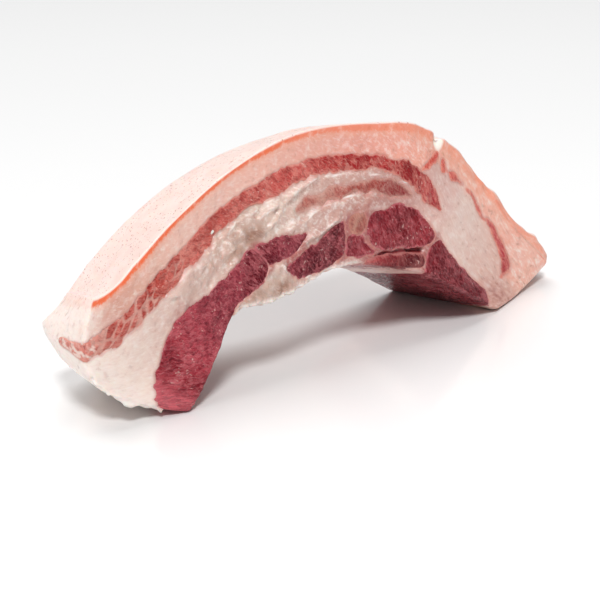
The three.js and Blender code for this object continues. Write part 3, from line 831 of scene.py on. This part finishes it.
def belly_body():
    steps = [
        spacing(RIND_LENGTH, 0.4, 0.64, 3),
        spacing(THICKNESS, 0.35, 0.64, 2.8),
        spacing(SLICE_WIDTH, 0.35, 1.9, 2.8),
    ]
    shares, quads, places = block(steps, (RIND_LENGTH, THICKNESS, SLICE_WIDTH))
    points = place(*soft_corners(shares).T)
    out = normals(points, quads)
    along, depth = layer_point(*shares.T)
    spot = np.stack([along, depth, shares[:, 2] * SLICE_WIDTH], -1)
    flat = spot[:, :2]
    inside, near = np.full(len(points), FAR_OUTSIDE), np.full((2, len(points)), FAR_OUTSIDE)
    for name in LAYERS:
        reach = depth_inside(name, along, depth)
        inside = np.maximum(inside, reach)
        if "outer" not in name and "lens" not in name and "tail_spot" not in name:
            near = np.sort(np.concatenate([near, reach[None]]), axis=0)[1:]
    # The relief of the cut face fades out within 5 mm behind it, and the far face has some of it too.
    front = 1 - step(spot[:, 2], 1.5, 5)
    back = step(spot[:, 2], SLICE_WIDTH - 3, SLICE_WIDTH)
    # Beside lean the fat is as low as the lean is, so that no crack opens between them.
    clear = mix(0.15, 1, step(-inside, 0.1, 1.9))
    rise = waves(spot) * mix(0.5, 1, step(shares[:, 1], 0, 0.1))
    # Soft fat of the middle is lumpier than the firm fat under the rind.
    outer = 1 - step(line_distance(flat, LAYER_PARTING)[0] / mix(0.5, 4, step(along, 176, 200)), -1, 1)
    soft = (1 - outer) * step(along, 40, 60) * (1 - step(along, 125, 180))
    calm = mix(1, 0.4, step(along, 104, 132))
    slanted = np.stack([0.5 * along + 0.2 * depth, depth - 0.35 * along, spot[:, 2]], -1)
    lumpy = 0.8 * lumps(slanted, 3.2, 11) + 0.45 * lumps(slanted, 1.5, 12)
    rise += clear * soft * calm * lumpy * (front + back)
    lip, slit, flush = raise_folds(rise, spot, clear, front)
    knob = pit(spot, KNOB) / KNOB["deep"]
    rise -= pit(spot, NICK) + pit(spot, KNOB) + pit(spot, RIND_BULGE)
    rim = raise_rims(rise, shares, spot, front)
    # On the right the rind is slack and uneven.
    slack = step(along, 150, 205) * (1 - step(shares[:, 1] * THICKNESS, 1, 9))
    rise += slack * (0.9 * lumps(spot, 7, 41) + 0.5 * lumps(spot, 2.8, 42))
    rise -= RECESS * step(inside + 0.12 * lumps(spot, 1.5, 1), 0.15, 0.95) * (1 - 0.9 * knob)
    points = press_flat(points + out * rise[:, None])
    strand = np.exp(-((line_distance(flat, THREADS)[0] / 1.1) ** 2))
    strand = strand * (0.65 + 0.8 * lumps(spot, 2.2, 43)) * front
    # A painted white highlight on the fat in a wedge below the nick in the rind.
    painted_highlight_below_nick = np.exp(-(((along - 179.6) / 2.1) ** 2) - ((depth - 2.4) / 3.4) ** 2) * front
    return points, quads, places, {
        "belly": spot,
        "between": step(near.sum(axis=0), -6, -2.4) * (front + back),
        "strand": np.maximum(strand, 0.8 * flush),
        "lean_gap": np.maximum(-inside, 4 * knob),
        "outer": outer,
        "soft": soft,
        "skin": 1 - step(shares[:, 1] * THICKNESS, 0.1, 0.8),
        # The lips of folds and the small knob of fat get a painted white highlight.
        "lip": np.maximum(lip, knob),
        "slit": slit,
        "brown": patches(STRETCHED, spot, front + 0.6 * back),
        "stain": patches(STAINED, spot, front + 0.6 * back),
        # The ragged rims are painted whiter as a highlight.
        "rim": rim,
        # The nick in the rind and the wedge below it are painted white as a highlight.
        "nick": np.maximum(pit(spot, NICK) / NICK["deep"], painted_highlight_below_nick),
    }


# Raw fat with scalded rind. The eye sees soft light through it, a satin wet surface, pink and cream mixed in
# streaks, a blush where it meets lean, an orange cut edge of rind, and a skin with pores 1.5 mm apart.
def fat_and_rind():
    material, tree = bare_material("raw_pork_fat_with_scalded_rind")
    belly = add(tree, "Attribute", {"attribute_name": "belly"}, out=1)
    axes = add(tree, "SeparateXYZ", links={0: belly})
    along, depth = axes, axes.node.outputs[1]
    lean_gap, outer, soft, skin, lip, slit, brown, stain, between, strand, rim, nick = (
        add(tree, "Attribute", {"attribute_name": label}, out=2)
        for label in (
            "lean_gap", "outer", "soft", "skin", "lip", "slit",
            "brown", "stain", "between", "strand", "rim", "nick",
        )
    )
    big = add(tree, "TexNoise", {"Scale": 1 / 9, "Detail": 4.0}, {"Vector": belly})
    mid = add(tree, "TexNoise", {"Scale": 1 / 3.2, "Detail": 5.0, "Roughness": 0.6}, {"Vector": belly})
    fine = add(tree, "TexNoise", {"Scale": 1 / 0.8, "Detail": 3.0, "Roughness": 0.6}, {"Vector": belly})
    shifted = add(tree, "Math", {"operation": "MULTIPLY_ADD", 1: 20.0}, {0: big, 2: along})
    share = add(tree, "MapRange", {1: 10.0, 2: RIND_LENGTH + 10.0}, {0: shifted})
    firm_fat = add(tree, "ValToRGB", {"stops": along_stops([
        (0, "#F4E4DC"), (5, "#E8CBC0"), (14, "#D4A090"), (30, "#DCAE9E"), (50, "#E9C0B2"), (80, "#ECBBAC"),
        (110, "#E8AE9F"), (140, "#E4A192"), (165, "#EFAA98"), (200, "#F3B29C"), (225, "#F1B8A6"),
        (240, "#EDB29F"),
    ])}, {0: share})
    soft_fat = add(tree, "ValToRGB", {"stops": along_stops([
        (0, "#F6E6DE"), (10, "#F2DED3"), (26, "#E3C7BB"), (38, "#DEC0B5"), (55, "#DEC1B6"), (75, "#D2B1A2"),
        (95, "#DCC4B7"), (120, "#D0A99E"), (145, "#CB9E93"), (160, "#C0928A"), (188, "#DEB5AB"),
        (202, "#E6C9BE"), (225, "#E0B4A6"), (240, "#DCA594"),
    ])}, {0: share})
    # Streaks that run along the fat and slant a little, and cream and pink patches.
    slant = add(tree, "VectorRotate", {"Axis": (0, 0, 1), "Angle": -0.45}, {"Vector": belly})
    cross = add(tree, "VectorMath", {"operation": "MULTIPLY", 1: (0.4, 1.35, 0.35)}, {0: slant})
    striped = {"Scale": 1 / 1.1, "Detail": 4.0, "Roughness": 0.65, "Distortion": 0.5}
    striae = add(tree, "TexNoise", striped, {"Vector": cross})
    lively = add(tree, "MapRange", {3: 0.5, 4: 0.95}, {0: soft})
    loose = amount(tree, outer, (along, 110, 190, 0, 0.4))
    lively = add(tree, "Math", {"operation": "ADD"}, {0: lively, 1: loose})
    # A blush of lean in the fat next to it, and lean behind the gap.
    gap = add(tree, "Math", {"operation": "MULTIPLY_ADD", 1: -1.6}, {0: mid, 2: lean_gap})
    # The cut edge of the rind, widest on the left.
    band_depth = add(tree, "Math", {"operation": "MULTIPLY_ADD", 1: 2.2}, {0: fine, 2: depth})
    band_wide = add(tree, "Math", {"operation": "MULTIPLY_ADD", 1: 2.0}, {0: big, 2: band_depth})
    wider = amount(tree, (along, 115, 160, 0, 1.4))
    band = add(tree, "Math", {"operation": "SUBTRACT"}, {0: band_wide, 1: wider})
    core_share = add(tree, "ValToRGB", {"stops": [
        (0.0, "#FFFFFF"), (0.15, "#FFFFFF"), (0.4, "#F4F4F4"), (0.55, "#C0C0C0"), (0.67, "#A8A8A8"),
        (0.78, "#7A7A7A"), (1.0, "#989898"),
    ]}, {0: share})
    cut_face = coated(
        tree, soft_fat, (firm_fat, outer),
        ("#FBF2EC", (striae, 0.5, 0.68, 0, 0.6), lively),
        ("#C88E82", (striae, 0.48, 0.32, 0, 0.3), lively),
        ("#FAF0EA", (mid, 0.5, 0.68, 0, 0.6), lively), ("#BE8C80", (mid, 0.47, 0.33, 0, 0.42), lively),
        ("#EE9C84", (big, 0.5, 0.64, 0, 0.55), (along, 150, 185, 0.15, 1), outer),
        ("#9A6E5A", brown, (striae, 0.3, 0.6, 0.35, 1)), ("#A4564F", stain, (mid, 0.62, 0.36, 0.3, 1)),
        ("#A85E5C", between, (striae, 0.66, 0.36, 0.5, 1)), ("#D9604E", (strand, 0.25, 0.9, 0, 0.75)),
        ("#CE867C", (gap, 0.4, -0.9, 0, 0.6)), ("#9A4A4A", (lean_gap, 0.1, -0.7, 0, 1)),
        ("#F0A78C", (band, 7.2, 3.6, 0, 0.5), (along, 0.3, 5, 0.15, 1)),
        ("#EC7248", (band, 4.7, 3.5, 0, 1), core_share,
         (mid, 0.68, 0.5, 0.4, 1), (along, 0.3, 2.6, 0.12, 1)),
        # The lips of folds, the small knob, the rims and the nick in the rind catch the light, and a painted
        # highlight makes them whiter.
        ("#F8EFE9", (lip, 0.25, 0.95, 0, 0.75)), ("#FBF3EC", (rim, 0.3, 0.9, 0, 0.7)),
        ("#FBF3EB", (nick, 0.2, 0.7, 0, 0.9)), ("#7C1A22", (slit, 0.15, 0.6, 0, 0.95)),
    )
    # The outside of the rind.
    pores = add(tree, "TexVoronoi", {"Scale": 1 / 1.5, "Randomness": 0.9}, {"Vector": belly})
    pore_tone = add(tree, "SeparateColor", links={0: pores.node.outputs[1]})
    pore_wide = amount(tree, (pore_tone, 0.2, 1, 0.1, 0.28))
    pore = add(tree, "Math", {"operation": "LESS_THAN"}, {0: pores, 1: pore_wide})
    outside = coated(
        tree, "#EDD5CD", ("#E8C4BA", (big, 0.38, 0.66, 0, 0.5)), ("#F1DBD3", (mid, 0.5, 0.75, 0, 0.35)),
        ("#A86458", (pore, 0, 1, 0, 0.8)),
    )
    colour = coated(tree, cut_face, (outside, skin))
    # Surface: wet satin fat with fine unevenness, and drier skin with pores and fine lines.
    rough = amount(tree, (mid, 0.3, 0.7, 0.26, 0.46))
    streaks = add(tree, "MapRange", {1: 0.4, 2: 0.8, 4: 0.4}, {0: striae})
    grain = add(tree, "Math", {"operation": "MULTIPLY_ADD", 1: 0.4}, {0: fine, 2: streaks})
    height = add(tree, "Math", {"operation": "SUBTRACT"}, {0: grain, 1: amount(tree, pore, skin)})
    bump = add(tree, "Bump", {"Strength": 0.3, "Distance": 0.0003}, {"Height": height})
    shader = {
        "IOR": 1.45, "Coat Weight": 0.15, "Coat Roughness": 0.2,
        "Subsurface Weight": 0.35, "Subsurface Radius": (1.0, 0.45, 0.3), "Subsurface Scale": 0.0014,
    }
    surface = add(tree, "BsdfPrincipled", shader, {"Base Color": colour, "Roughness": rough, "Normal": bump})
    add(tree, "OutputMaterial", links={0: surface})
    return material


fat_nodes = ["fat_outer_with_rind", "fat_middle", "fat_inner"]
make_piece("fat_with_rind", fat_nodes, belly_body(), fat_and_rind())

# Camera, floor and light: a white glossy table under soft light from above and behind on the left, with a
# fill from the front. The camera looks down on the slab as in the photograph.
CAMERA_TURN = math.radians(36)
CAMERA_TILT = math.radians(20)
CAMERA_AWAY = 0.56
CAMERA_ANGLE = math.radians(20)
AIM_HEIGHT = 28
FLOOR_REACH = 6
camera = put_in_scene("camera", bpy.data.cameras.new("camera"))
level = math.cos(CAMERA_TILT)
forward = Vector((math.sin(CAMERA_TURN) * level, math.cos(CAMERA_TURN) * level, -math.sin(CAMERA_TILT)))
target = Vector((-CENTRE[0], -CENTRE[1], AIM_HEIGHT)) * METRE
camera.location = target - forward * CAMERA_AWAY
camera.rotation_euler = forward.to_track_quat("-Z", "Y").to_euler()
camera.data.angle = CAMERA_ANGLE
camera.data.sensor_fit = "HORIZONTAL"
bpy.context.scene.camera = camera

floor_mesh = bpy.data.meshes.new("floor")
corners = [(x * FLOOR_REACH, y * FLOOR_REACH, 0) for x, y in ((-1, -1), (1, -1), (1, 1), (-1, 1))]
floor_mesh.from_pydata(corners, [], [(0, 1, 2, 3)])
put_in_scene("floor", floor_mesh)
white_table, tree = bare_material("glossy_white_table")
table_surface = add(tree, "BsdfPrincipled", {"Base Color": linear("#EDEDED"), "Roughness": 0.16, "IOR": 1.8})
add(tree, "OutputMaterial", links={0: table_surface})
floor_mesh.materials.append(white_table)

for name, strength, spread, ray in (
    ("key", 2.1, 50, (-0.1, -0.45, -0.88)),
    ("fill", 2.25, 14, (0.35, 0.45, -0.82)),
):
    lamp = bpy.data.lights.new(name, "SUN")
    lamp.energy = strength
    lamp.angle = math.radians(spread)
    light = put_in_scene(name, lamp)
    light.rotation_euler = Vector(ray).to_track_quat("-Z", "Y").to_euler()
bpy.context.scene.view_settings.view_transform = "Standard"
world = bpy.data.worlds.new("studio")
world.use_nodes = True
world.node_tree.nodes["Background"].inputs[0].default_value = (1, 1, 1, 1)
world.node_tree.nodes["Background"].inputs[1].default_value = 0.3
bpy.context.scene.world = world
